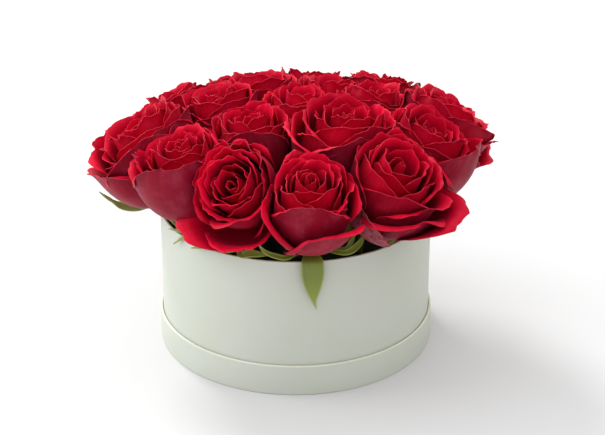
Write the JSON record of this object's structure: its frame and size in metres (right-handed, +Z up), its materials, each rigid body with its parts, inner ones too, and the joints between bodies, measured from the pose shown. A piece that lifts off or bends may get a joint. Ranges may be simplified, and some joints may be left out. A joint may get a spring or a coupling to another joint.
{
  "type": "flower hat box with roses",
  "caption": "Round ivory board hat box on its upturned lid, packed with a dome of red cut roses standing in foam.",
  "frame": {"origin": "middle of the lid's flat underside, on the surface that the box stands on", "axes": "+Z up along the box's axis, the front of the box towards -Y, +X to the viewer's right"},
  "size_m": [0.2869, 0.2765, 0.1994],
  "materials": {
    "ivory_board": "smooth matt laid board, pale sage ivory",
    "liner_plastic": "thin dull plastic",
    "wet_foam": "dark green wet floral foam, fine open cells",
    "red_petal": "velvety crimson petals, paler and silvery on their backs",
    "green_stem": "fresh green stems and sepals, yellow-green at the tips"
  },
  "bodies": {
    "root": {"hat_box_body": "ivory_board", "hat_box_lid": "ivory_board", "liner": "liner_plastic", "floral_foam": "wet_foam", "rose_01_bloom": "red_petal", "rose_01_stem": "green_stem", "rose_02_bloom": "red_petal", "rose_02_stem": "green_stem", "rose_03_bloom": "red_petal", "rose_03_stem": "green_stem", "rose_04_bloom": "red_petal", "rose_04_stem": "green_stem", "rose_05_bloom": "red_petal", "rose_05_stem": "green_stem", "rose_06_bloom": "red_petal", "rose_06_stem": "green_stem", "rose_07_bloom": "red_petal", "rose_07_stem": "green_stem", "rose_08_bloom": "red_petal", "rose_08_stem": "green_stem", "rose_09_bloom": "red_petal", "rose_09_stem": "green_stem", "rose_10_bloom": "red_petal", "rose_10_stem": "green_stem", "rose_11_bloom": "red_petal", "rose_11_stem": "green_stem", "rose_12_bloom": "red_petal", "rose_12_stem": "green_stem", "rose_13_bloom": "red_petal", "rose_13_stem": "green_stem", "rose_14_bloom": "red_petal", "rose_14_stem": "green_stem", "rose_15_bloom": "red_petal", "rose_15_stem": "green_stem", "rose_16_bloom": "red_petal", "rose_16_stem": "green_stem", "rose_17_bloom": "red_petal", "rose_17_stem": "green_stem", "rose_18_bloom": "red_petal", "rose_18_stem": "green_stem"}
  },
  "joints": []
}
